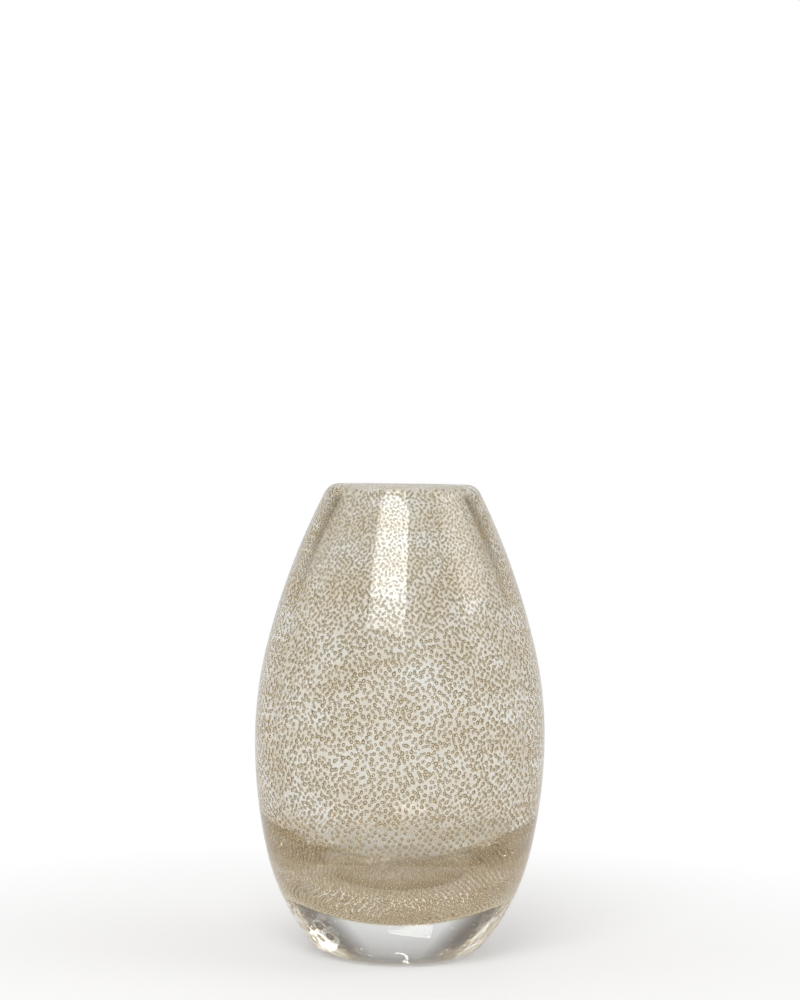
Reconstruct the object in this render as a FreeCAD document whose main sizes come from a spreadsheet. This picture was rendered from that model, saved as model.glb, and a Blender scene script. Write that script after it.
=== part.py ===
import FreeCAD, Part
import math
import os
import Sketcher

# Bud vase of cased bubble glass, blown in three gathers that are fused together:
#   inner_lining   clear first gather, the wall of the cavity
#   bubble_layer   tinted second gather, which traps one layer of small air bubbles
#   outer_casing   clear last gather, with the thick solid base and the polished lip
# Millimetres, +Z up, origin at the centre of the foot, on the surface it stands on.
# Each layer is one closed profile turned about Z. The outer outline is a chain of
# tangent arcs. The surfaces inside the side wall run parallel to it, and each of them
# closes at the bottom with a rounded corner and a bowl-shaped floor.

SIZES = {
    # the outer outline, from the foot up
    "foot_corner": 10.0,
    "base_arc": 73.3,
    "base_top": 33.0,
    "lower_belly_arc": 162.0,
    "belly_height": 69.0,
    "belly_radius": 46.5,
    "upper_belly_arc": 123.5,
    "shoulder_start": 97.8,
    "shoulder_arc": 227.6,
    "lip_outside": 4.8,
    "lip_inside": 1.0,
    "height": 150.0,
    # how deep in the side wall each layer ends, measured from the outside
    "casing_depth": 2.0,
    "bubble_depth": 3.5,
    "cavity_depth": 5.4,
    # the two inner layers end under the lip
    "layer_top": 148.0,
    # the rounded bottoms: underside of the bubble layer, its upper side, the cavity
    "casing_floor": 16.6,
    "casing_floor_arc": 50.0,
    "casing_corner": 30.0,
    "bubble_floor": 18.1,
    "bubble_floor_arc": 48.5,
    "bubble_corner": 28.5,
    "cavity_floor": 24.0,
    "cavity_floor_arc": 60.0,
    "cavity_corner": 20.0,
}

START, END, CENTRE = 1, 2, 3
ORIGIN, UP_AXIS = -1, -2
TURN = FreeCAD.Vector(0, 0, 1)


def point(radius, height):
    return FreeCAD.Vector(radius, height, 0)


def direction(angle):
    return point(math.cos(angle), math.sin(angle))


def angle_of(vector):
    return math.atan2(vector.y, vector.x)


def crossing(centre_a, radius_a, centre_b, radius_b):
    """Where two circles cross, the lower of the two places."""
    between = centre_b - centre_a
    apart = between.Length
    along = (apart**2 + radius_a**2 - radius_b**2) / (2 * apart)
    across = math.sqrt(radius_a**2 - along**2)
    unit = between / apart
    side = point(-unit.y, unit.x)
    crossings = [centre_a + unit * along + side * s for s in (across, -across)]
    return min(crossings, key=lambda p: p.y)


def outline_centres():
    """The centres of the four large arcs, and the angles at which they meet."""
    s = SIZES
    lower = point(s["belly_radius"] - s["lower_belly_arc"], s["belly_height"])
    drop = math.asin((s["belly_height"] - s["base_top"]) / s["lower_belly_arc"])
    base = lower + direction(-drop) * (s["lower_belly_arc"] - s["base_arc"])
    upper = point(s["belly_radius"] - s["upper_belly_arc"], s["belly_height"])
    rise = math.asin((s["shoulder_start"] - s["belly_height"]) / s["upper_belly_arc"])
    shoulder = upper + direction(rise) * (s["upper_belly_arc"] - s["shoulder_arc"])
    return base, lower, upper, shoulder, drop, rise


def new_sketch(body, name):
    """An empty sketch on the body's own XZ plane, X outwards and Y up."""
    planes = body.Origin.OriginFeatures
    xz_plane = next(p for p in planes if p.Role == "XZ_Plane")
    sketch = body.newObject("Sketcher::SketchObject", name)
    sketch.AttachmentSupport = [(xz_plane, "")]
    sketch.MapMode = "FlatFace"
    return sketch


def add_line(sketch, start, end):
    return sketch.addGeometry(Part.LineSegment(start, end), False)


def add_arc(sketch, centre, radius, start_angle, end_angle):
    circle = Part.Circle(centre, TURN, radius)
    arc = Part.ArcOfCircle(circle, start_angle, end_angle)
    return sketch.addGeometry(arc, False)


def size(sketch, kind, *ends_and_value, name, cell):
    """A dimension of the sketch, bound to the sheet."""
    index = sketch.addConstraint(Sketcher.Constraint(kind, *ends_and_value))
    sketch.renameConstraint(index, name)
    sketch.setExpression("Constraints." + name, cell)


def height_of(sketch, item, end, at, name, cell):
    size(sketch, "DistanceY", ORIGIN, START, item, end, at, name=name, cell=cell)


def smooth_joint(sketch, item, end, other, other_end):
    sketch.addConstraint(Sketcher.Constraint("Tangent", item, end, other, other_end))


def corner_joint(sketch, item, end, other, other_end):
    sketch.addConstraint(Sketcher.Constraint("Coincident", item, end, other, other_end))


def add_side(sketch, label, depth, bottom_angle, top_angle):
    """The large arcs of the wall: lower belly, upper belly and shoulder.

    depth is the name of the cell that says how deep in the wall they lie, or None
    for the outer outline. Returns the numbers of the first and the last arc.
    """
    s = SIZES
    inset = s[depth] if depth else 0.0
    less = " - dims." + depth if depth else ""
    _, lower_c, upper_c, shoulder_c, _, rise = outline_centres()
    lower = add_arc(sketch, lower_c, s["lower_belly_arc"] - inset, bottom_angle, 0)
    upper = add_arc(sketch, upper_c, s["upper_belly_arc"] - inset, 0, rise)
    shoulder = add_arc(sketch, shoulder_c, s["shoulder_arc"] - inset, rise, top_angle)

    smooth_joint(sketch, lower, END, upper, START)
    smooth_joint(sketch, upper, END, shoulder, START)
    arcs = {"lower_belly_arc": lower, "upper_belly_arc": upper, "shoulder_arc": shoulder}
    for cell, arc in arcs.items():
        name = label + "_" + cell
        size(sketch, "Radius", arc, s[cell] - inset, name=name, cell="dims." + cell + less)

    belly = s["belly_height"]
    height_of(sketch, lower, CENTRE, belly, label + "_lower_centre", "dims.belly_height")
    height_of(sketch, upper, CENTRE, belly, label + "_upper_centre", "dims.belly_height")
    size(
        sketch, "DistanceX", ORIGIN, START, lower, END, s["belly_radius"] - inset,
        name=label + "_belly_radius", cell="dims.belly_radius" + less,
    )
    share = (s["upper_belly_arc"] - inset) / s["upper_belly_arc"]
    height_of(
        sketch, upper, END, belly + (s["shoulder_start"] - belly) * share,
        label + "_shoulder_start",
        "dims.belly_height + (dims.shoulder_start - dims.belly_height)"
        " * (dims.upper_belly_arc" + less + ") / dims.upper_belly_arc",
    )
    return lower, shoulder


def add_layer_surface(sketch, layer):
    """One surface inside the wall: rounded floor, corner, side, up to the layers' top.

    Returns the numbers of the floor arc, which starts on the axis, and of the
    shoulder arc, which ends at the layers' top.
    """
    s = SIZES
    floor_height, floor_radius = s[layer + "_floor"], s[layer + "_floor_arc"]
    corner_radius, depth = s[layer + "_corner"], s[layer + "_depth"]
    _, lower_c, _, shoulder_c, _, _ = outline_centres()
    floor_c = point(0, floor_height + floor_radius)
    side_reach = s["lower_belly_arc"] - depth - corner_radius
    corner_c = crossing(lower_c, side_reach, floor_c, floor_radius - corner_radius)
    floor_end = angle_of(corner_c - floor_c)
    corner_end = angle_of(corner_c - lower_c)
    top = math.asin((s["layer_top"] - shoulder_c.y) / (s["shoulder_arc"] - depth))

    floor = add_arc(sketch, floor_c, floor_radius, -math.pi / 2, floor_end)
    corner = add_arc(sketch, corner_c, corner_radius, floor_end, corner_end)
    lower, shoulder = add_side(sketch, layer, layer + "_depth", corner_end, top)
    smooth_joint(sketch, floor, END, corner, START)
    smooth_joint(sketch, corner, END, lower, START)
    for end in (START, CENTRE):
        sketch.addConstraint(Sketcher.Constraint("PointOnObject", floor, end, UP_AXIS))

    cell = layer + "_floor"
    height_of(sketch, floor, START, floor_height, cell, "dims." + cell)
    cell = layer + "_floor_arc"
    size(sketch, "Radius", floor, floor_radius, name=cell, cell="dims." + cell)
    cell = layer + "_corner"
    size(sketch, "Radius", corner, corner_radius, name=cell, cell="dims." + cell)
    height_of(sketch, shoulder, END, s["layer_top"], layer + "_top", "dims.layer_top")
    return floor, shoulder


def add_outside(sketch):
    """The flat foot, its corner, the outer outline and the rounded lip.

    Returns the numbers of the foot line, which starts at the origin, and of the
    short arc of the cavity wall under the lip, which starts at the layers' top.
    """
    s = SIZES
    base_c, _, _, shoulder_c, drop, _ = outline_centres()
    # the foot's rounded corner touches the ground and the base arc from inside
    corner = s["foot_corner"]
    reach = s["base_arc"] - corner
    turn = -math.asin((base_c.y - corner) / reach)
    corner_c = base_c + direction(turn) * reach
    # the lip's outer rounding touches the shoulder arc from inside
    outside = s["lip_outside"]
    reach = s["shoulder_arc"] - outside
    outside_turn = math.asin((s["height"] - outside - shoulder_c.y) / reach)
    outside_c = shoulder_c + direction(outside_turn) * reach
    # the lip's inner rounding touches the cavity wall from outside
    inside = s["lip_inside"]
    wall = s["shoulder_arc"] - s["cavity_depth"]
    inside_turn = math.asin((s["height"] - inside - shoulder_c.y) / (wall + inside))
    inside_c = shoulder_c + direction(inside_turn) * (wall + inside)
    cavity_turn = math.asin((s["layer_top"] - shoulder_c.y) / wall)

    foot = add_line(sketch, point(0, 0), point(corner_c.x, 0))
    foot_corner = add_arc(sketch, corner_c, corner, -math.pi / 2, turn)
    base = add_arc(sketch, base_c, s["base_arc"], turn, -drop)
    lower, shoulder = add_side(sketch, "outer", None, -drop, outside_turn)
    lip_outside = add_arc(sketch, outside_c, outside, outside_turn, math.pi / 2)
    lip_top = add_line(sketch, point(outside_c.x, s["height"]), point(inside_c.x, s["height"]))
    lip_inside = add_arc(sketch, inside_c, inside, math.pi / 2, math.pi + inside_turn)
    cavity = add_arc(sketch, shoulder_c, wall, cavity_turn, inside_turn)

    sketch.addConstraint(Sketcher.Constraint("Coincident", foot, START, ORIGIN, START))
    sketch.addConstraint(Sketcher.Constraint("Horizontal", foot))
    smooth_joint(sketch, foot, END, foot_corner, START)
    smooth_joint(sketch, foot_corner, END, base, START)
    smooth_joint(sketch, base, END, lower, START)
    smooth_joint(sketch, shoulder, END, lip_outside, START)
    smooth_joint(sketch, lip_outside, END, lip_top, START)
    smooth_joint(sketch, lip_top, END, lip_inside, START)
    smooth_joint(sketch, lip_inside, END, cavity, END)
    sketch.addConstraint(Sketcher.Constraint("Horizontal", lip_top))
    corner_joint(sketch, cavity, CENTRE, shoulder, CENTRE)

    size(sketch, "Radius", foot_corner, corner, name="foot_corner", cell="dims.foot_corner")
    size(sketch, "Radius", base, s["base_arc"], name="base_arc", cell="dims.base_arc")
    height_of(sketch, base, END, s["base_top"], "base_top", "dims.base_top")
    size(sketch, "Radius", lip_outside, outside, name="lip_outside", cell="dims.lip_outside")
    size(sketch, "Radius", lip_inside, inside, name="lip_inside", cell="dims.lip_inside")
    size(
        sketch, "Radius", cavity, wall,
        name="cavity_under_lip", cell="dims.shoulder_arc - dims.cavity_depth",
    )
    height_of(sketch, lip_top, START, s["height"], "height", "dims.height")
    height_of(sketch, cavity, START, s["layer_top"], "lip_bottom", "dims.layer_top")
    return foot, cavity


def join(sketch, start, end):
    """A straight line between two ends, each given as an arc or line and its end."""
    line = add_line(sketch, sketch.getPoint(*start), sketch.getPoint(*end))
    corner_joint(sketch, line, START, *start)
    corner_joint(sketch, line, END, *end)


def draw_casing(sketch):
    foot, cavity = add_outside(sketch)
    floor, shoulder = add_layer_surface(sketch, "casing")
    join(sketch, (cavity, START), (shoulder, END))
    join(sketch, (floor, START), (foot, START))


def draw_between(sketch, outer_layer, inner_layer):
    outer_floor, outer_shoulder = add_layer_surface(sketch, outer_layer)
    inner_floor, inner_shoulder = add_layer_surface(sketch, inner_layer)
    join(sketch, (outer_shoulder, END), (inner_shoulder, END))
    join(sketch, (inner_floor, START), (outer_floor, START))


def draw_bubble_layer(sketch):
    draw_between(sketch, "casing", "bubble")


def draw_lining(sketch):
    draw_between(sketch, "bubble", "cavity")


def add_sheet(doc):
    sheet = doc.addObject("Spreadsheet::Sheet", "dims")
    for row, (name, number) in enumerate(SIZES.items(), start=1):
        sheet.set(f"A{row}", name)
        sheet.set(f"B{row}", str(number))
        sheet.setAlias(f"B{row}", name)
    return sheet


def add_turned_layer(doc, name, draw):
    """A body of one profile turned once about the vase's axis."""
    body = doc.addObject("PartDesign::Body", name)
    body.Label = name
    sketch = new_sketch(body, name + "_profile")
    draw(sketch)
    doc.recompute()
    solved = sketch.solve() == 0
    print(f"{name} profile: solved {solved}, fully dimensioned {sketch.FullyConstrained}")
    turned = body.newObject("PartDesign::Revolution", name + "_turned")
    turned.Profile = (sketch, [""])
    turned.ReferenceAxis = (sketch, ["V_Axis"])
    turned.Angle = 360.0
    body.Placement = FreeCAD.Placement()
    return body


def check_document(doc, bodies):
    for item in doc.Objects:
        failed = {"Invalid", "Error"} & set(item.State)
        if failed:
            raise RuntimeError(f"{item.Label}: {sorted(failed)}")
    for body in bodies:
        shape = body.Shape
        if shape.isNull() or not shape.isValid() or len(shape.Solids) != 1:
            raise RuntimeError(f"{body.Label}: the shape is not one valid solid")


def main():
    doc = FreeCAD.newDocument("bud_vase")
    add_sheet(doc)
    doc.recompute()
    bodies = [
        add_turned_layer(doc, "outer_casing", draw_casing),
        add_turned_layer(doc, "bubble_layer", draw_bubble_layer),
        add_turned_layer(doc, "inner_lining", draw_lining),
    ]
    doc.recompute()
    check_document(doc, bodies)
    os.makedirs("parts", exist_ok=True)
    for body in bodies:
        body.Shape.exportStep(f"parts/{body.Label}.step")
        box = body.Shape.BoundBox
        size_words = f"{box.XLength:.1f} x {box.YLength:.1f} x {box.ZLength:.1f} mm"
        print(f"{body.Label}: {size_words}, {body.Shape.Volume / 1000:.1f} cm3")


main()
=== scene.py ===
# %% [markdown]
# # A bud vase of cased bubble glass
#
# The vase is blown in three gathers of glass. A clear first gather holds the cavity, a champagne-tinted
# second gather traps one layer of small air bubbles, and a clear last gather makes the smooth skin and
# the thick solid base. The three are fused, so light bends only where glass meets air: at the outer
# skin, at the cavity wall and at each trapped bubble.
#
# The model follows that. It has one clear body, one thin tinted layer inside it, and thousands of small
# bubbles inside the tinted layer. The cells below make them in that order.

# %% The frame
import math

import bmesh
import bpy
import numpy as np
from mathutils import Euler, Matrix, Vector
from mathutils.kdtree import KDTree


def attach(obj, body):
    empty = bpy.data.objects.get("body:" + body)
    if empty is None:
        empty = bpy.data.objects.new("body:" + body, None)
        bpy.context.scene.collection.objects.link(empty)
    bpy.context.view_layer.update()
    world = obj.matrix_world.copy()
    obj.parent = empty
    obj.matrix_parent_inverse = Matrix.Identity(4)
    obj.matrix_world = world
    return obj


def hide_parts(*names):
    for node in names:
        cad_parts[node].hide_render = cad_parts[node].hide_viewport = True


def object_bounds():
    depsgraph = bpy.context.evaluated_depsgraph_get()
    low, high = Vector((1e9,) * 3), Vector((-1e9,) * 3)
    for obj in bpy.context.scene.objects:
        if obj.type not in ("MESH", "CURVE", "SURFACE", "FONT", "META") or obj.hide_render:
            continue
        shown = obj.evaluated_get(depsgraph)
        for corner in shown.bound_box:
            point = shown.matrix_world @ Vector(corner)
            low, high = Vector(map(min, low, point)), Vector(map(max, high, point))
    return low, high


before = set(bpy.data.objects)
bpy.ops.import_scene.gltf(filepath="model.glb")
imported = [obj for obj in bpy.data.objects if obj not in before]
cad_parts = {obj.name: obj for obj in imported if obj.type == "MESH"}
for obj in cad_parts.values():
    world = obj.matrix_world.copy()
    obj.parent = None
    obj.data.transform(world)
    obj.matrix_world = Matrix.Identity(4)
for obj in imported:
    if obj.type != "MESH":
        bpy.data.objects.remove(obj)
cad_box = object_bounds()
MM = 0.001
print("CAD box in mm:", [[round(number / MM, 2) for number in corner] for corner in cad_box])

# %% [markdown]
# ## The outline
#
# A vase blown and turned on the pipe is a body of revolution, so one outline says its whole shape. It
# could be drawn as a Bezier curve, or as a chain of round arcs. The arcs are chosen here, because each
# one has a radius and a centre that can be written down, and because a wall of even thickness is then
# the same chain again with smaller radii. Four large arcs make the side: the base, the lower belly, the
# upper belly and the shoulder. Each centre lies on the line from the last centre to the last joint,
# which is what makes two arcs run smoothly into each other.

# %% Sizes of the outline
low_corner, high_corner = (Vector(corner) for corner in cad_box)
HEIGHT = high_corner.z
BELLY_RADIUS = high_corner.x
BELLY_HEIGHT = 69.0 * MM
BASE_ARC, BASE_TOP = 73.3 * MM, 33.0 * MM
LOWER_ARC = 162.0 * MM
UPPER_ARC = 123.5 * MM
SHOULDER_ARC, SHOULDER_START = 227.6 * MM, 97.8 * MM
FOOT_CORNER = 10.0 * MM
LIP_OUTSIDE, LIP_INSIDE = 4.8 * MM, 1.0 * MM


def polar(angle, length):
    """A step of that length in the XZ plane, at that angle above the X axis."""
    return Vector((math.cos(angle) * length, 0, math.sin(angle) * length))


def aim(vector):
    """The angle of a vector of the XZ plane above the X axis."""
    return math.atan2(vector.z, vector.x)


belly_drop = math.asin((BELLY_HEIGHT - BASE_TOP) / LOWER_ARC)
belly_rise = math.asin((SHOULDER_START - BELLY_HEIGHT) / UPPER_ARC)
lower_centre = Vector((BELLY_RADIUS - LOWER_ARC, 0, BELLY_HEIGHT))
base_centre = lower_centre + polar(-belly_drop, LOWER_ARC - BASE_ARC)
upper_centre = Vector((BELLY_RADIUS - UPPER_ARC, 0, BELLY_HEIGHT))
shoulder_centre = upper_centre + polar(belly_rise, UPPER_ARC - SHOULDER_ARC)
print(f"{HEIGHT / MM:.1f} mm high and {2 * BELLY_RADIUS / MM:.1f} mm across the belly")

# %% [markdown]
# ## The outer skin
#
# The outer skin starts at the edge of the flat foot. A small arc rounds the foot's corner, the four
# large arcs follow, and a last arc turns over the lip, which the glassmaker melts round in the flame.
# An arc is kept as its centre, its radius, and the angles at which it starts and ends.


# %% The arcs of the outer skin
def outer_arcs():
    """The outer outline, from the edge of the flat foot to the top of the lip."""
    reach = BASE_ARC - FOOT_CORNER
    foot_turn = -math.asin((base_centre.z - FOOT_CORNER) / reach)
    foot_centre = base_centre + polar(foot_turn, reach)
    reach = SHOULDER_ARC - LIP_OUTSIDE
    lip_turn = math.asin((HEIGHT - LIP_OUTSIDE - shoulder_centre.z) / reach)
    lip_centre = shoulder_centre + polar(lip_turn, reach)
    return [
        (foot_centre, FOOT_CORNER, -math.pi / 2, foot_turn),
        (base_centre, BASE_ARC, foot_turn, -belly_drop),
        (lower_centre, LOWER_ARC, -belly_drop, 0),
        (upper_centre, UPPER_ARC, 0, belly_rise),
        (shoulder_centre, SHOULDER_ARC, belly_rise, lip_turn),
        (lip_centre, LIP_OUTSIDE, lip_turn, math.pi / 2),
    ]


# %% [markdown]
# ## The surfaces inside the wall
#
# The cavity wall and both sides of the tinted layer run parallel to the outer skin, at their own depths.
# At the bottom each closes in a shallow bowl, because hot glass sags round the bubble of breath that
# makes the cavity. The bowl is a wide arc on the axis and a corner arc that touches the bowl and the
# side. Where the corner's centre lies follows from two circles: it is as far from the side's centre and
# from the bowl's centre as the radii say.


# %% The arcs of an inner surface
CAVITY_DEPTH, CAVITY_FLOOR = 5.4 * MM, 24.0 * MM
CAVITY_BOWL, CAVITY_CORNER = 60.0 * MM, 20.0 * MM


def crossing(centre_a, radius_a, centre_b, radius_b):
    """Where two circles of the XZ plane cross, the lower of the two places."""
    between = centre_b - centre_a
    along = (between.length**2 + radius_a**2 - radius_b**2) / (2 * between.length)
    across = math.sqrt(radius_a**2 - along**2)
    unit = between.normalized()
    side = Vector((-unit.z, 0, unit.x))
    return min((centre_a + unit * along + side * s for s in (across, -across)), key=lambda p: p.z)


def inner_arcs(depth, floor, bowl, corner, top):
    """A surface at that depth in the wall, from the axis up: its floor's height, its bowl's and its
    corner's radius, and the height where it ends."""
    bowl_centre = Vector((0, 0, floor + bowl))
    corner_centre = crossing(lower_centre, LOWER_ARC - depth - corner, bowl_centre, bowl - corner)
    bowl_end = aim(corner_centre - bowl_centre)
    corner_end = aim(corner_centre - lower_centre)
    shoulder = SHOULDER_ARC - depth
    return [
        (bowl_centre, bowl, -math.pi / 2, bowl_end),
        (corner_centre, corner, bowl_end, corner_end),
        (lower_centre, LOWER_ARC - depth, corner_end, 0),
        (upper_centre, UPPER_ARC - depth, 0, belly_rise),
        (shoulder_centre, shoulder, belly_rise, math.asin((top - shoulder_centre.z) / shoulder)),
    ]


def downwards(arcs):
    """The same chain of arcs, walked the other way."""
    return [(centre, radius, end, start) for centre, radius, start, end in reversed(arcs)]


def cavity_arcs():
    """The inner side of the lip, then the cavity wall down to its floor on the axis."""
    wall = SHOULDER_ARC - CAVITY_DEPTH
    turn = math.asin((HEIGHT - LIP_INSIDE - shoulder_centre.z) / (wall + LIP_INSIDE))
    lip_centre = shoulder_centre + polar(turn, wall + LIP_INSIDE)
    touch = shoulder_centre + polar(turn, wall)
    side = inner_arcs(CAVITY_DEPTH, CAVITY_FLOOR, CAVITY_BOWL, CAVITY_CORNER, touch.z)
    return [(lip_centre, LIP_INSIDE, math.pi / 2, math.pi + turn)] + downwards(side)


print(f"wall {CAVITY_DEPTH / MM:.1f} mm, solid base {CAVITY_FLOOR / MM:.1f} mm under the cavity")

# %% [markdown]
# ## Drawing and turning
#
# Blender's spin operator does both jobs. Spinning one vertex about an arc's centre draws the arc, and
# spinning the finished outline about the Z axis makes the skin. An extruded vertex makes the straight
# stretches, such as the flat foot. After the full turn the doubled vertices on the axis are merged, so
# the shape is closed, and the normals are worked out again, so that they all point out of the glass.
# That matters more for glass than for anything else, since the side a face points to says which side
# is glass and which is air.

# %% Helpers that draw and turn
STEP = 1.4 * MM
SHORTEST_ARC_STEPS = 4
TOUCHING = 0.001 * MM


def spin_arc(bm, vertex, arc):
    """Draws one arc on from vertex, by spinning it about the arc's centre."""
    centre, radius, start, end = arc
    steps = max(SHORTEST_ARC_STEPS, math.ceil(abs(end - start) * radius / STEP))
    swept = bmesh.ops.spin(
        bm, geom=[vertex], cent=centre, axis=(0, -1, 0), angle=end - start, steps=steps
    )
    return next(g for g in swept["geom_last"] if isinstance(g, bmesh.types.BMVert))


def draw_outline(bm, arcs, first):
    """A start point, then the arcs, joined by straight stretches where they don't touch."""
    vertex = bm.verts.new(first)
    for arc in arcs:
        centre, radius, start, _ = arc
        begin = centre + polar(start, radius)
        if (begin - vertex.co).length > TOUCHING:
            vertex = bmesh.ops.extrude_vert_indiv(bm, verts=[vertex])["verts"][0]
            vertex.co = begin
        vertex = spin_arc(bm, vertex, arc)


def turned_mesh(name, arcs, first, segments):
    """A closed mesh, smooth all over: the outline spun once round the Z axis."""
    bm = bmesh.new()
    draw_outline(bm, arcs, first)
    bmesh.ops.spin(
        bm, geom=bm.verts[:] + bm.edges[:], cent=(0, 0, 0), axis=(0, 0, 1),
        angle=2 * math.pi, steps=segments, use_merge=True,
    )
    bmesh.ops.remove_doubles(bm, verts=bm.verts[:], dist=TOUCHING)
    bmesh.ops.dissolve_degenerate(bm, edges=bm.edges[:], dist=TOUCHING)
    bmesh.ops.recalc_face_normals(bm, faces=bm.faces[:])
    for face in bm.faces:
        face.smooth = True
    open_edges = sum(not edge.is_manifold for edge in bm.edges)
    volume = bm.calc_volume(signed=True) / MM**3 / 1000
    mesh = bpy.data.meshes.new(name)
    bm.to_mesh(mesh)
    bm.free()
    print(f"{name}: {len(mesh.polygons)} faces, {open_edges} open edges, {volume:.1f} cm3")
    return mesh


def add_piece(name, mesh, material):
    """Puts a finished mesh in the scene, where it lies, riding on the vase's one body."""
    mesh.materials.append(material)
    piece = bpy.data.objects.new(name, mesh)
    bpy.context.scene.collection.objects.link(piece)
    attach(piece, "root")
    return piece


# %% [markdown]
# ## What blown glass does to a smooth shape
#
# Glass that was worked hot is never quite true. Broad, shallow waves run round it, because the vase was
# turned while it cooled, and the colour of a gather drifts a little from place to place. Both could be
# modelled in the mesh or left to the material. The waves are far shallower than the mesh is fine, so the
# material does it, with noise that is squeezed upwards, so that the marks lie round the vase. More than
# one kind of glass needs them, so they are one node group with its own scale.


# %% A node group for the marks of blowing
SQUEEZE_UPWARDS = 1.8


def new_material(name):
    """A new material, with its nodes and links."""
    material = bpy.data.materials.new(name)
    material.use_nodes = True
    return material, material.node_tree.nodes, material.node_tree.links


def link_chain(links, *sockets):
    """Links the first socket to the second, the third to the fourth, and so on."""
    for source, target in zip(sockets[::2], sockets[1::2]):
        links.new(source, target)


def blowing_marks():
    """Object coordinates in; the height of the waves and the drift of the colour out."""
    group = bpy.data.node_groups.new("blowing_marks", "ShaderNodeTree")
    sockets = group.interface
    sockets.new_socket("Scale", in_out="INPUT", socket_type="NodeSocketFloat")
    sockets.new_socket("Height", in_out="OUTPUT", socket_type="NodeSocketFloat")
    sockets.new_socket("Drift", in_out="OUTPUT", socket_type="NodeSocketFloat")
    nodes, links = group.nodes, group.links
    given, result = nodes.new("NodeGroupInput"), nodes.new("NodeGroupOutput")
    place = nodes.new("ShaderNodeTexCoord")
    squeeze = nodes.new("ShaderNodeMapping")
    squeeze.inputs["Scale"].default_value = (1, 1, SQUEEZE_UPWARDS)
    waves = nodes.new("ShaderNodeTexNoise")
    waves.inputs["Detail"].default_value = 1.0
    drift = nodes.new("ShaderNodeTexNoise")
    drift.inputs["Detail"].default_value = 3.0
    links.new(place.outputs["Object"], squeeze.inputs["Vector"])
    for noise, name in ((waves, "Height"), (drift, "Drift")):
        links.new(squeeze.outputs["Vector"], noise.inputs["Vector"])
        links.new(given.outputs["Scale"], noise.inputs["Scale"])
        links.new(noise.outputs["Fac"], result.inputs[name])
    return group


marks = blowing_marks()


def add_marks(nodes, scale):
    """The marks as one node of a material, at that scale."""
    node = nodes.new("ShaderNodeGroup")
    node.node_tree = marks
    node.inputs["Scale"].default_value = scale
    return node


# %% [markdown]
# ## Clear glass
#
# Soda glass bends light with an index of 1.5 and has nearly no colour, so a Principled BSDF with full
# transmission is all that its body needs. Three things make it real: the waves of the blowing, which
# make the streaks in the thick base wander, the flat foot, which is ground and so is matt while all the
# rest is polished by the flame, and a trace of green in the colour.


# %% The clear glass material
GLASS_IOR = 1.5
CLEAR_COLOUR = (0.985, 0.992, 0.985, 1)
WAVE_SCALE, WAVE_DEPTH = 38.0, 0.05 * MM
GROUND_ROUGHNESS = 0.22
GROUND_BELOW, POLISHED_ABOVE = 0.10 * MM, 0.25 * MM


def clear_glass():
    """Clear glass with waves in its skin and a matt foot."""
    material, nodes, links = new_material("clear_glass")
    shader = nodes["Principled BSDF"]
    shader.inputs["Base Color"].default_value = CLEAR_COLOUR
    shader.inputs["IOR"].default_value = GLASS_IOR
    shader.inputs["Transmission Weight"].default_value = 1.0
    waves = add_marks(nodes, WAVE_SCALE)
    bump = nodes.new("ShaderNodeBump")
    bump.inputs["Distance"].default_value = WAVE_DEPTH
    place = nodes.new("ShaderNodeTexCoord")
    height = nodes.new("ShaderNodeSeparateXYZ")
    ground = nodes.new("ShaderNodeMapRange")
    ground.inputs["From Min"].default_value = POLISHED_ABOVE
    ground.inputs["From Max"].default_value = GROUND_BELOW
    ground.inputs["To Max"].default_value = GROUND_ROUGHNESS
    link_chain(
        links,
        waves.outputs["Height"], bump.inputs["Height"],
        bump.outputs["Normal"], shader.inputs["Normal"],
        place.outputs["Object"], height.inputs["Vector"],
        height.outputs["Z"], ground.inputs["Value"],
        ground.outputs["Result"], shader.inputs["Roughness"],
    )
    return material


# %% [markdown]
# ## The clear body
#
# The first and the last gather are the same clear glass, so to light they are one body: the outer skin
# and the cavity wall, joined at the lip. The outline starts on the axis, in the middle of the foot.

# %% Making the clear body
BODY_SEGMENTS = 192
body_arcs = outer_arcs() + cavity_arcs()
body_mesh = turned_mesh("clear_body", body_arcs, (0, 0, 0), BODY_SEGMENTS)
clear_body = add_piece("clear_body", body_mesh, clear_glass())
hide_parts("outer_casing", "inner_lining")

# %% [markdown]
# ## Tinted glass
#
# The second gather is champagne-coloured. A tint painted on its skin would be the same everywhere, but
# the real one deepens with the length that the light travels in the glass, so that the edges of the vase
# are browner than its middle. A Volume Absorption shader does that. The skin of the layer bends nothing,
# because clear and tinted glass have the same index, so its own index is 1. What the skin does have is
# the drift of the colour, as a very light wash over the absorption.


# %% The tinted glass material
TINT_COLOUR = (0.70, 0.61, 0.40, 1)
TINT_DENSITY = 32.0
DRIFT_SCALE = 60.0
WASH_RAMP = ((0.35, (0.93, 0.89, 0.82, 1)), (0.65, (1, 1, 1, 1)))


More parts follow.
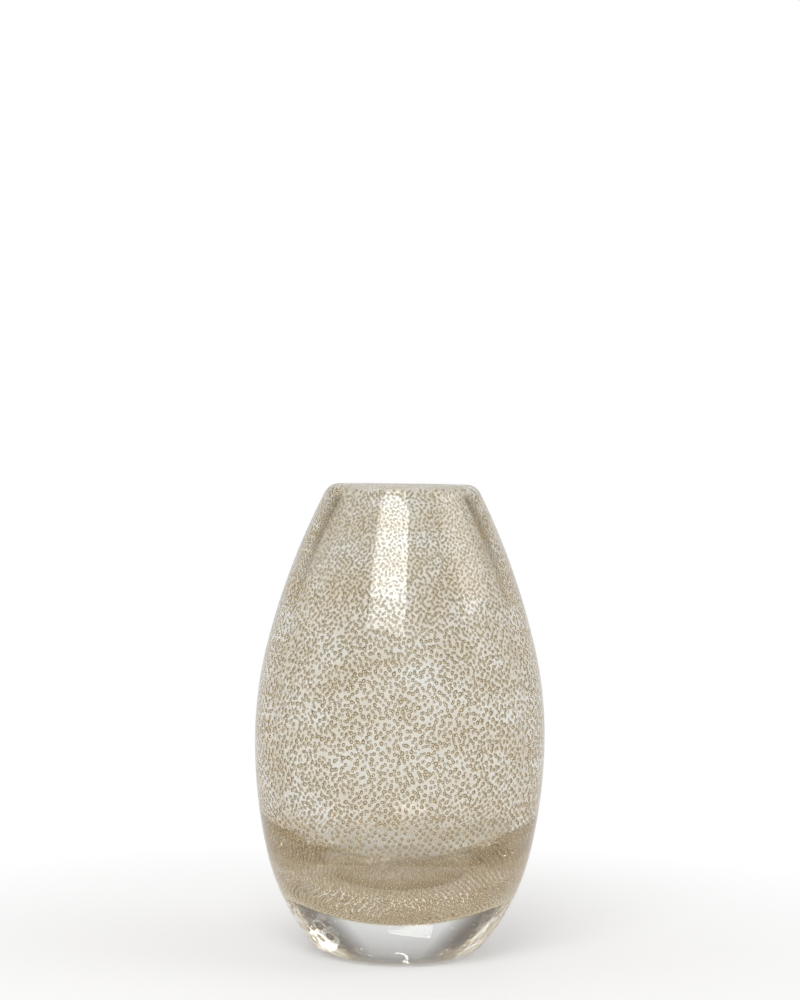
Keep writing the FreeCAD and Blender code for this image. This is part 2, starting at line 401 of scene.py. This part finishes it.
def tinted_glass():
    """Glass that bends nothing and takes up light along its way."""
    material, nodes, links = new_material("champagne_glass")
    shader = nodes["Principled BSDF"]
    shader.inputs["Roughness"].default_value = 0.0
    shader.inputs["IOR"].default_value = 1.0
    shader.inputs["Transmission Weight"].default_value = 1.0
    absorb = nodes.new("ShaderNodeVolumeAbsorption")
    absorb.inputs["Color"].default_value = TINT_COLOUR
    absorb.inputs["Density"].default_value = TINT_DENSITY
    drift = add_marks(nodes, DRIFT_SCALE)
    wash = nodes.new("ShaderNodeValToRGB")
    for stop, (position, colour) in zip(wash.color_ramp.elements, WASH_RAMP):
        stop.position = position
        stop.color = colour
    link_chain(
        links,
        absorb.outputs["Volume"], nodes["Material Output"].inputs["Volume"],
        drift.outputs["Drift"], wash.inputs["Fac"],
        wash.outputs["Color"], shader.inputs["Base Color"],
    )
    return material


# %% [markdown]
# ## The tinted layer
#
# The layer is 1.5 mm thick and lies wholly inside the clear body. It closes under the cavity and ends
# just below the lip, where the last gather folds over it. Its two sides are the same kind of surface, so
# each is written as a depth, a floor, a bowl and a corner.

# %% Making the tinted layer
LAYER_SEGMENTS = 128
LAYER_TOP = 148.0 * MM
OUTSIDE = (2.0 * MM, 16.6 * MM, 50.0 * MM, 30.0 * MM)
INSIDE = (3.5 * MM, 18.1 * MM, 48.5 * MM, 28.5 * MM)
layer_arcs = inner_arcs(*OUTSIDE, LAYER_TOP) + downwards(inner_arcs(*INSIDE, LAYER_TOP))
layer_mesh = turned_mesh("tinted_layer", layer_arcs, (0, 0, OUTSIDE[1]), LAYER_SEGMENTS)
tinted_layer = add_piece("tinted_layer", layer_mesh, tinted_glass())
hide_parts("bubble_layer")

# %% [markdown]
# ## Where the bubbles sit
#
# Bubble glass is made by rolling the hot gather on spikes, or in powder that gives off gas, and then
# covering it with the next gather, which shuts the air in. The bubbles lie in one layer, nearly evenly
# spaced, and they spread apart where the vase is blown wider. Even spacing on a body of revolution comes
# from a spiral: each bubble is turned from the last by the golden angle, as seeds are in a sunflower,
# and the distance along the outline grows so that each one gets the same room. The room is wider at the
# belly. Then each bubble is moved a little by chance, because real ones are never that regular. Low in
# the vase, where the gather was stretched least, the chance is smaller and the rows stay neater.

# %% Places on the middle surface of the layer
COLUMNS = 140
SMALLEST_GAP = 1.4 * MM
WANDER, LEAST_WANDER = 0.18, 0.35
WALK_STEP = 0.05 * MM
BELOW_LAYER_TOP = 0.8 * MM
GOLDEN_TURN = math.pi * (3 - math.sqrt(5))
chance = np.random.default_rng(7)


def walk(arcs, step):
    """Points along a chain of arcs, the directions out of the wall there, and the way gone."""
    points, outward = [], []
    for centre, radius, start, end in arcs:
        count = math.ceil(abs(end - start) * radius / step)
        for angle in np.linspace(start, end, count, endpoint=False):
            points.append(centre + polar(angle, radius))
            outward.append(polar(angle, 1))
    points, outward = np.array(points), np.array(outward)
    gone = np.concatenate([[0], np.cumsum(np.linalg.norm(np.diff(points, axis=0), axis=1))])
    return points, outward, gone


def bubble_places():
    """Each bubble's centre, its way out of the wall, and its distance to its neighbours."""
    middle = [(outside + inside) / 2 for outside, inside in zip(OUTSIDE, INSIDE)]
    points, outward, gone = walk(inner_arcs(*middle, LAYER_TOP - BELOW_LAYER_TOP), WALK_STEP)
    radius = points[:, 0]
    gap = np.maximum(2 * math.pi * radius / COLUMNS, SMALLEST_GAP)
    per_metre = 2 * math.pi * radius / (math.sqrt(0.75) * gap**2)
    number = np.cumsum(per_metre * np.gradient(gone))
    wanted = np.arange(0.5, number[-1])
    gap = np.interp(wanted, number, gap)
    along = np.interp(wanted, number, gone)
    wander = WANDER * gap * np.clip(along / BELLY_HEIGHT, LEAST_WANDER, 1)
    along = along + chance.normal(0, 1, len(wanted)) * wander
    r, z = (np.interp(along, gone, points[:, axis]) for axis in (0, 2))
    out, up = (np.interp(along, gone, outward[:, axis]) for axis in (0, 2))
    turn = np.arange(len(wanted)) * GOLDEN_TURN
    turn += chance.normal(0, 1, len(wanted)) * wander / np.maximum(r, MM)
    centres = np.stack([r * np.cos(turn), r * np.sin(turn), z], axis=1)
    outwards = np.stack([out * np.cos(turn), out * np.sin(turn), up], axis=1)
    return centres, outwards, gap


centres, outwards, gaps = bubble_places()
print(f"{len(gaps)} bubbles, {gaps.min() / MM:.2f} to {gaps.max() / MM:.2f} mm apart")

# %% [markdown]
# ## One bubble
#
# A trapped bubble is a ball of air. Seen from inside the glass its skin bends light the other way round,
# so its index is one over that of glass. Its rim mirrors everything, since light that meets air from
# inside glass at a flat angle can't get out. Some of what it mirrors has run along inside the tinted
# wall, which should make the rim browner than the middle. That browner rim is painted: a Glass BSDF
# whose colour goes from cream, face on, to tan at the rim is a painted reflection of the brown wall. Low
# in the vase the tan is painted browner still, as painted shade. Both tans, and the browner one low in
# the vase, were chosen and not worked out.
#
# Thousands of balls are needed, so each one has only 24 faces: a cube, cut once each way and rounded.


# %% The material and the mesh of a bubble
BUBBLE_MIDDLE = (1.0, 0.99, 0.96, 1)
# Painted reflection: the tan of each bubble's rim. Painted shade: the browner tan low in the vase, full
# below the lower height and gone above the upper one. The two facing values say where the painted rim
# starts and where it is full.
PAINTED_RIM_TAN = (0.90, 0.80, 0.55, 1)
PAINTED_LOW_SHADE_TAN = (0.76, 0.63, 0.40, 1)
PAINTED_SHADE_FULL_BELOW, PAINTED_SHADE_GONE_ABOVE = 26 * MM, 52 * MM
PAINTED_RIM_STARTS, PAINTED_RIM_FULL = 0.22, 0.50


def colour_mix(nodes, first, second):
    """A mix of two colours, for its Factor. A colour that is None comes by a link."""
    node = nodes.new("ShaderNodeMix")
    node.data_type = "RGBA"
    for name, colour in (("A", first), ("B", second)):
        if colour:
            node.inputs[name].default_value = colour
    return node


def trapped_air():
    """Air in glass: the index the other way round, and a tan rim that is a painted reflection, with
    painted shade making it browner low in the vase.
    """
    material, nodes, links = new_material("trapped_air")
    nodes.remove(nodes["Principled BSDF"])
    shader = nodes.new("ShaderNodeBsdfGlass")
    shader.inputs["Roughness"].default_value = 0.0
    shader.inputs["IOR"].default_value = 1 / GLASS_IOR
    # The rim's tan is a painted reflection, laid on by how slanting the skin is to the ray.
    slant = nodes.new("ShaderNodeLayerWeight")
    rim = nodes.new("ShaderNodeMapRange")
    rim.inputs["From Min"].default_value = PAINTED_RIM_STARTS
    rim.inputs["From Max"].default_value = PAINTED_RIM_FULL
    # Painted shade: the rim's tan turns browner towards the bottom of the vase.
    place = nodes.new("ShaderNodeTexCoord")
    height = nodes.new("ShaderNodeSeparateXYZ")
    above = nodes.new("ShaderNodeMapRange")
    above.inputs["From Min"].default_value = PAINTED_SHADE_FULL_BELOW
    above.inputs["From Max"].default_value = PAINTED_SHADE_GONE_ABOVE
    tan = colour_mix(nodes, PAINTED_LOW_SHADE_TAN, PAINTED_RIM_TAN)
    cream_to_painted_rim = colour_mix(nodes, BUBBLE_MIDDLE, None)
    link_chain(
        links,
        place.outputs["Object"], height.inputs["Vector"],
        height.outputs["Z"], above.inputs["Value"],
        above.outputs["Result"], tan.inputs["Factor"],
        slant.outputs["Facing"], rim.inputs["Value"],
        rim.outputs["Result"], cream_to_painted_rim.inputs["Factor"],
        tan.outputs["Result"], cream_to_painted_rim.inputs["B"],
        cream_to_painted_rim.outputs["Result"], shader.inputs["Color"],
        shader.outputs["BSDF"], nodes["Material Output"].inputs["Surface"],
    )
    return material


def ball_mesh():
    """A ball of 24 faces with a radius of 1."""
    bm = bmesh.new()
    bmesh.ops.create_cube(bm, size=1.0)
    bmesh.ops.subdivide_edges(bm, edges=bm.edges[:], cuts=1, use_grid_fill=True)
    for vertex in bm.verts:
        vertex.co.normalize()
    for face in bm.faces:
        face.smooth = True
    mesh = bpy.data.meshes.new("ball")
    bm.to_mesh(mesh)
    bm.free()
    return mesh


# %% [markdown]
# ## Bubbles that would touch
#
# A bubble's size follows from the room it has, with some chance in it. Chance also puts some bubbles so
# near to each other that their balls would cut into one another. In hot glass those would have run
# together, and to a ray of light two crossing skins make no sense, because it would enter air from air.
# They could be pushed apart in many small steps. It is simpler to leave one of each such two out. A KD
# tree finds the near ones quickly.

# %% Sizes, and the bubbles that stay
FILL = 0.285
SIZE_SPREAD, SMALLEST, LARGEST = 0.12, 0.6, 1.25
DRAWN_OUT = 1.12


def standing_apart(centres, reach):
    """Which bubbles stay, when of two that would touch the later one is left out."""
    tree = KDTree(len(centres))
    for index, centre in enumerate(centres):
        tree.insert(centre, index)
    tree.balance()
    stays = np.ones(len(centres), dtype=bool)
    for index, centre in enumerate(centres):
        for _, other, distance in tree.find_range(centre, reach[index] + reach.max()):
            if other < index and stays[other] and distance < reach[index] + reach[other]:
                stays[index] = False
    return stays


sizes = gaps * FILL * np.clip(1 + chance.normal(0, SIZE_SPREAD, len(gaps)), SMALLEST, LARGEST)
turns = chance.uniform(0, 2 * math.pi, (len(gaps), 3))
stays = standing_apart(centres, sizes * DRAWN_OUT)
centres, outwards, sizes, turns = centres[stays], outwards[stays], sizes[stays], turns[stays]
print(f"{len(sizes)} bubbles stay, {2 * sizes.min() / MM:.2f} to {2 * sizes.max() / MM:.2f} mm across")

# %% [markdown]
# ## All the bubbles
#
# Copies of the ball are set on the places. Each is turned by chance, so that its corners don't line up
# with its neighbours', and drawn out a little up the wall, as bubbles are when the gather is stretched.
# They could be instances from Geometry Nodes, but one mesh per band of the vase is simpler, exports as
# it is, and keeps each piece light.

# %% Setting the ball on every place
FLATTENED = 0.95
BANDS = 6


def bubble_placement(centre, outward, size, turn):
    """The matrix that turns, stretches and moves the ball to one place."""
    stand = Vector(outward).to_track_quat("Z", "Y").to_matrix().to_4x4()
    stretch = Matrix.Diagonal((size, size * DRAWN_OUT, size * FLATTENED, 1))
    spin = Euler(turn).to_matrix().to_4x4()
    return Matrix.Translation(centre) @ stand @ stretch @ spin


def scattered(name, ball, chosen):
    """One mesh with a copy of the ball at each of the chosen places."""
    bm = bmesh.new()
    for index in chosen:
        copy = ball.copy()
        copy.transform(bubble_placement(centres[index], outwards[index], sizes[index], turns[index]))
        bm.from_mesh(copy)
        bpy.data.meshes.remove(copy)
    mesh = bpy.data.meshes.new(name)
    bm.to_mesh(mesh)
    bm.free()
    return mesh


ball, air = ball_mesh(), trapped_air()
for band, chosen in enumerate(np.array_split(np.arange(len(sizes)), BANDS), start=1):
    mesh = scattered(f"bubbles_{band}", ball, chosen)
    add_piece(mesh.name, mesh, air)
    print(f"{mesh.name}: {len(chosen)} bubbles, {len(mesh.polygons)} faces")

# %% [markdown]
# ## The floor
#
# Glass shows what is round it, so its surroundings are part of its looks. The vase stands on a plain
# white floor that meets the white studio wall without a line. Near the vase the floor is a surface that
# takes a soft shadow, with a faint glow of its own to lift it. Further off it turns into plain light as
# bright as the wall. Only the camera sees it that bright; the glass sees it a little greyer.


# %% Making the floor
FLOOR_RADIUS = 12.0
FLOOR_GLOW = 0.30
SHADOW_WITHIN, LIGHT_BEYOND = 0.03, 0.22
SEEN_BY_GLASS = 0.82


def white_floor():
    """A white surface near the vase that turns into plain light further off."""
    material, nodes, links = new_material("white_floor")
    shader = nodes["Principled BSDF"]
    shader.inputs["Base Color"].default_value = (0.9, 0.9, 0.9, 1)
    shader.inputs["Roughness"].default_value = 0.7
    shader.inputs["Specular IOR Level"].default_value = 0.2
    shader.inputs["Emission Color"].default_value = (1, 1, 1, 1)
    shader.inputs["Emission Strength"].default_value = FLOOR_GLOW
    light = nodes.new("ShaderNodeEmission")
    seen = nodes.new("ShaderNodeLightPath")
    strength = nodes.new("ShaderNodeMapRange")
    strength.inputs["To Min"].default_value = SEEN_BY_GLASS
    place = nodes.new("ShaderNodeTexCoord")
    away = nodes.new("ShaderNodeVectorMath")
    away.operation = "LENGTH"
    share = nodes.new("ShaderNodeMapRange")
    share.inputs["From Min"].default_value = SHADOW_WITHIN
    share.inputs["From Max"].default_value = LIGHT_BEYOND
    blend = nodes.new("ShaderNodeMixShader")
    link_chain(
        links,
        seen.outputs["Is Camera Ray"], strength.inputs["Value"],
        strength.outputs["Result"], light.inputs["Strength"],
        place.outputs["Object"], away.inputs[0],
        away.outputs["Value"], share.inputs["Value"],
        share.outputs["Result"], blend.inputs["Fac"],
        shader.outputs["BSDF"], blend.inputs[1],
        light.outputs["Emission"], blend.inputs[2],
        blend.outputs["Shader"], nodes["Material Output"].inputs["Surface"],
    )
    return material


bm = bmesh.new()
bmesh.ops.create_circle(bm, cap_ends=True, radius=FLOOR_RADIUS, segments=96)
floor_mesh = bpy.data.meshes.new("floor")
bm.to_mesh(floor_mesh)
bm.free()
floor_mesh.materials.append(white_floor())
floor = bpy.data.objects.new("floor", floor_mesh)
bpy.context.scene.collection.objects.link(floor)

# %% [markdown]
# ## The light
#
# Clear glass in a white room would have no edges, so in a studio dark cards, called flags, are stood
# where only the glass can see them. Here the camera sees a white wall. The glass sees one that is light
# grey at eye level and darker overhead, with four soft, dark flags a third of the way up: two on the
# camera's side and two behind the vase. They draw the dark bands inside the shoulders and the dark
# crescents in the solid base. Their places come from following light rays back through the glass, and
# their greys were chosen.


# %% The studio round the vase
EYE_LEVEL, OVERHEAD = (0.80, 0.80, 0.80, 1), (0.30, 0.29, 0.28, 1)
SHADE_RAMP = ((0.30, EYE_LEVEL), (0.70, OVERHEAD))
FLAG_BEARING, FLAG_HEIGHT, FLAG_SPREAD, FLAG_SOFTNESS = 43.0, 33.0, 17.0, 8.0
FLAG_GREY = (0.12, 0.10, 0.08, 1)
WALL_WHITE = (1, 1, 1, 1)


def bearing_way(bearing, height_angle):
    """The direction at that bearing, in degrees from the camera's side to the right, and height."""
    turn, rise = math.radians(bearing), math.radians(height_angle)
    return Vector((math.sin(turn) * math.cos(rise), -math.cos(turn) * math.cos(rise), math.sin(rise)))


def add_flag(nodes, links, way, colour, bearing):
    """Darkens the colour round that bearing, and gives the darkened colour."""
    near = nodes.new("ShaderNodeVectorMath")
    near.operation = "DOT_PRODUCT"
    near.inputs[1].default_value = bearing_way(bearing, FLAG_HEIGHT)
    edge = nodes.new("ShaderNodeMapRange")
    edge.inputs["From Min"].default_value = math.cos(math.radians(FLAG_SPREAD + FLAG_SOFTNESS))
    edge.inputs["From Max"].default_value = math.cos(math.radians(FLAG_SPREAD - FLAG_SOFTNESS))
    cover = colour_mix(nodes, None, FLAG_GREY)
    link_chain(
        links,
        way.outputs["Generated"], near.inputs[0],
        near.outputs["Value"], edge.inputs["Value"],
        edge.outputs["Result"], cover.inputs["Factor"],
        colour, cover.inputs["A"],
    )
    return cover.outputs["Result"]


def studio_world():
    """A wall that is white to the camera, and grey with four dark flags to the glass."""
    world = bpy.data.worlds.new("studio")
    world.use_nodes = True
    nodes, links = world.node_tree.nodes, world.node_tree.links
    way = nodes.new("ShaderNodeTexCoord")
    parts = nodes.new("ShaderNodeSeparateXYZ")
    shade = nodes.new("ShaderNodeValToRGB")
    for stop, (position, grey) in zip(shade.color_ramp.elements, SHADE_RAMP):
        stop.position = position
        stop.color = grey
    colour = shade.outputs["Color"]
    for bearing in (-FLAG_BEARING, FLAG_BEARING, FLAG_BEARING - 180, 180 - FLAG_BEARING):
        colour = add_flag(nodes, links, way, colour, bearing)
    seen = nodes.new("ShaderNodeLightPath")
    wall = colour_mix(nodes, None, WALL_WHITE)
    link_chain(
        links,
        way.outputs["Generated"], parts.inputs["Vector"],
        parts.outputs["Z"], shade.inputs["Fac"],
        seen.outputs["Is Camera Ray"], wall.inputs["Factor"],
        colour, wall.inputs["A"],
        wall.outputs["Result"], nodes["Background"].inputs["Color"],
    )
    return world


bpy.context.scene.world = studio_world()
print("studio with four flags at bearings of", FLAG_BEARING, "and", 180 - FLAG_BEARING, "degrees")

# %% [markdown]
# ## The softboxes
#
# A large softbox stands on the camera's side, a little to the left and high up. Its reflection is the
# bright window on the shoulder, and a fainter strip under it gives that window a soft lower edge. A weak
# one far to the right lifts the other side.


# %% Setting up the softboxes
BOX_DISTANCE = 1.2


def softbox(name, bearing, height_angle, width, length, radiance):
    """An area light that faces the vase's middle. bearing is in degrees, from the camera's side
    to the right; radiance is how bright it looks, where the studio wall is 1."""
    data = bpy.data.lights.new(name, "AREA")
    data.shape = "RECTANGLE"
    data.size, data.size_y = width, length
    data.energy = radiance * math.pi * width * length
    box = bpy.data.objects.new(name, data)
    way = bearing_way(bearing, height_angle)
    box.location = Vector((0, 0, HEIGHT / 2)) + way * BOX_DISTANCE
    box.rotation_euler = way.to_track_quat("Z", "Y").to_euler()
    bpy.context.scene.collection.objects.link(box)


softbox("key_softbox", -14, 44, width=0.66, length=0.42, radiance=6.0)
softbox("key_edge", -14, 31, width=0.66, length=0.14, radiance=3.0)
softbox("side_softbox", 80, 35, width=0.60, length=0.45, radiance=1.8)
print(len(bpy.data.lights), "softboxes")

# %% [markdown]
# ## The camera
#
# It stands 70 cm away, level, just under the height of the lip, so that the rim closes to a line. The
# lens is given by its focal length for Blender's 36 mm sensor. A light ray crosses many skins on its way
# through the vase, so it gets more bounces than usual before it is given up.

# %% Camera and colour
LENS = 78.35
CAMERA_PLACE = Vector((-0.87 * MM, -700.0 * MM, 144.79 * MM))
CAMERA_ROLL = 0.0122
BOUNCES = 32
camera_data = bpy.data.cameras.new("camera")
camera_data.lens = LENS
camera = bpy.data.objects.new("camera", camera_data)
bpy.context.scene.collection.objects.link(camera)
camera.matrix_world = (
    Matrix.Translation(CAMERA_PLACE)
    @ Matrix.Rotation(math.pi / 2, 4, "X")
    @ Matrix.Rotation(CAMERA_ROLL, 4, "Z")
)
scene = bpy.context.scene
scene.camera = camera
scene.view_settings.view_transform = "Standard"
scene.cycles.max_bounces = BOUNCES
scene.cycles.transmission_bounces = BOUNCES
scene.cycles.glossy_bounces = BOUNCES // 2
scene.cycles.transparent_max_bounces = BOUNCES // 2
